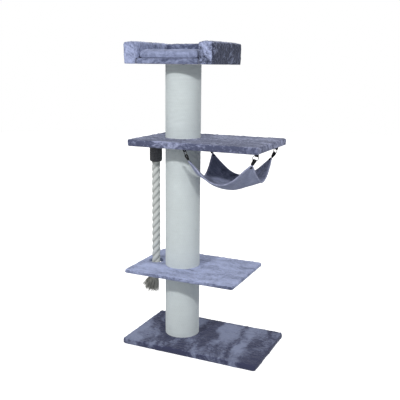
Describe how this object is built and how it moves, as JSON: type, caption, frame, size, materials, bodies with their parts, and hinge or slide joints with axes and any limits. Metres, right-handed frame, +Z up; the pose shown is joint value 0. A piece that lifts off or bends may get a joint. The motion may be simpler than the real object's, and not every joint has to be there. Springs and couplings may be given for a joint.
{
  "type": "cat tree",
  "caption": "Tall cat tree with sisal posts, plush platforms, a padded bed with a loose cushion, a thick hanging rope through a shelf and a plush hammock on rings.",
  "frame": {"origin": "on the floor, under the middle of the base's bounding box", "axes": "+Z up, +X from the posts towards the free end of the platforms, -Y the front of the bed"},
  "size_m": [0.61, 0.36, 1.28],
  "materials": {
    "plush_light": "light periwinkle crushed plush with soft light and dark nap",
    "plush_dark": "dark slate-violet crushed plush",
    "plush_slate": "slate-blue crushed plush",
    "hammock_plush": "grey-lavender plush, matt",
    "foam": "cream open-cell foam",
    "board": "raw particle board",
    "cardboard": "raw spiral-wound cardboard",
    "sisal": "pale grey sisal cord, closely wound",
    "plug_wood": "raw turned wood",
    "zinc_steel": "bright zinc-plated steel",
    "rope_cotton": "off-white three-strand rope",
    "rope_fibre": "olive-grey loose fibre",
    "collar_plastic": "charcoal satin",
    "ring_steel": "dark plated steel wire",
    "webbing_black": "black woven webbing",
    "foot_felt": "dark felt"
  },
  "bodies": {
    "frame": {"base_board": "board", "base_bolt": "zinc_steel", "base_cover": "plush_dark", "base_foot_1": "foot_felt", "base_foot_2": "foot_felt", "base_foot_3": "foot_felt", "base_foot_4": "foot_felt", "base_washer": "zinc_steel", "bed_back_cover": "plush_light", "bed_back_foam": "foam", "bed_board": "board", "bed_bolt": "zinc_steel", "bed_floor_cover": "plush_light", "bed_left_cover": "plush_light", "bed_left_foam": "foam", "bed_right_cover": "plush_light", "bed_right_foam": "foam", "bed_washer": "zinc_steel", "collar_screw": "zinc_steel", "hanger_screw_back_left": "zinc_steel", "hanger_screw_back_right": "zinc_steel", "hanger_screw_front_left": "zinc_steel", "hanger_screw_front_right": "zinc_steel", "hanger_strap_back_left": "webbing_black", "hanger_strap_back_right": "webbing_black", "hanger_strap_front_left": "webbing_black", "hanger_strap_front_right": "webbing_black", "lower_post_bottom_plug": "plug_wood", "lower_post_sisal": "sisal", "lower_post_top_plug": "plug_wood", "lower_post_tube": "cardboard", "middle_board": "board", "middle_cover": "plush_slate", "middle_post_bottom_plug": "plug_wood", "middle_post_sisal": "sisal", "middle_post_top_plug": "plug_wood", "middle_post_tube": "cardboard", "middle_stud": "zinc_steel", "rope_collar": "collar_plastic", "shelf_board": "board", "shelf_cover": "plush_light", "shelf_stud": "zinc_steel", "upper_post_bottom_plug": "plug_wood", "upper_post_sisal": "sisal", "upper_post_top_plug": "plug_wood", "upper_post_tube": "cardboard"},
    "cushion": {"bed_cushion": "plush_light"},
    "rope": {"play_rope": "rope_cotton", "rope_frayed_end": "rope_fibre"},
    "hammock": {"hammock_sling": "hammock_plush", "hammock_tab_front_left": "webbing_black", "hammock_tab_front_right": "webbing_black", "hammock_tab_back_right": "webbing_black", "hammock_tab_back_left": "webbing_black"},
    "ring_front_left": {"ring_front_left": "ring_steel"},
    "ring_front_right": {"ring_front_right": "ring_steel"},
    "ring_back_right": {"ring_back_right": "ring_steel"},
    "ring_back_left": {"ring_back_left": "ring_steel"}
  },
  "joints": [
    {"name": "cushion_lift", "type": "slide", "parent": "frame", "child": "cushion", "axis": [0, 0, 1], "range_m": [0, 0.09]},
    {"name": "rope_swing", "type": "hinge", "parent": "frame", "child": "rope", "pos_m": [-0.235, 0, 0.8595], "axis": [0, 1, 0], "range_deg": [-1.2, 1.2]},
    {"name": "ring_front_left_swing", "type": "hinge", "parent": "frame", "child": "ring_front_left", "pos_m": [-0.04036, -0.12, 0.861], "axis": [1, 0, 0], "range_deg": [-10, 10]},
    {"name": "ring_front_right_swing", "type": "hinge", "parent": "frame", "child": "ring_front_right", "pos_m": [0.26637, -0.12, 0.861], "axis": [1, 0, 0], "range_deg": [-10, 10]},
    {"name": "ring_back_right_swing", "type": "hinge", "parent": "frame", "child": "ring_back_right", "pos_m": [0.26637, 0.12, 0.861], "axis": [1, 0, 0], "range_deg": [-10, 10]},
    {"name": "ring_back_left_swing", "type": "hinge", "parent": "frame", "child": "ring_back_left", "pos_m": [-0.04036, 0.12, 0.861], "axis": [1, 0, 0], "range_deg": [-10, 10]},
    {"name": "hammock_sway", "type": "hinge", "parent": "ring_front_left", "child": "hammock", "pos_m": [-0.031, -0.12, 0.83782], "axis": [1, 0, 0], "range_deg": [-10, 10]}
  ],
  "couplings": [
    {"joint": "ring_front_right_swing", "follows": "ring_front_left_swing", "ratio": 1},
    {"joint": "ring_back_right_swing", "follows": "ring_front_left_swing", "ratio": 1},
    {"joint": "ring_back_left_swing", "follows": "ring_front_left_swing", "ratio": 1},
    {"joint": "hammock_sway", "follows": "ring_front_left_swing", "ratio": -1}
  ]
}
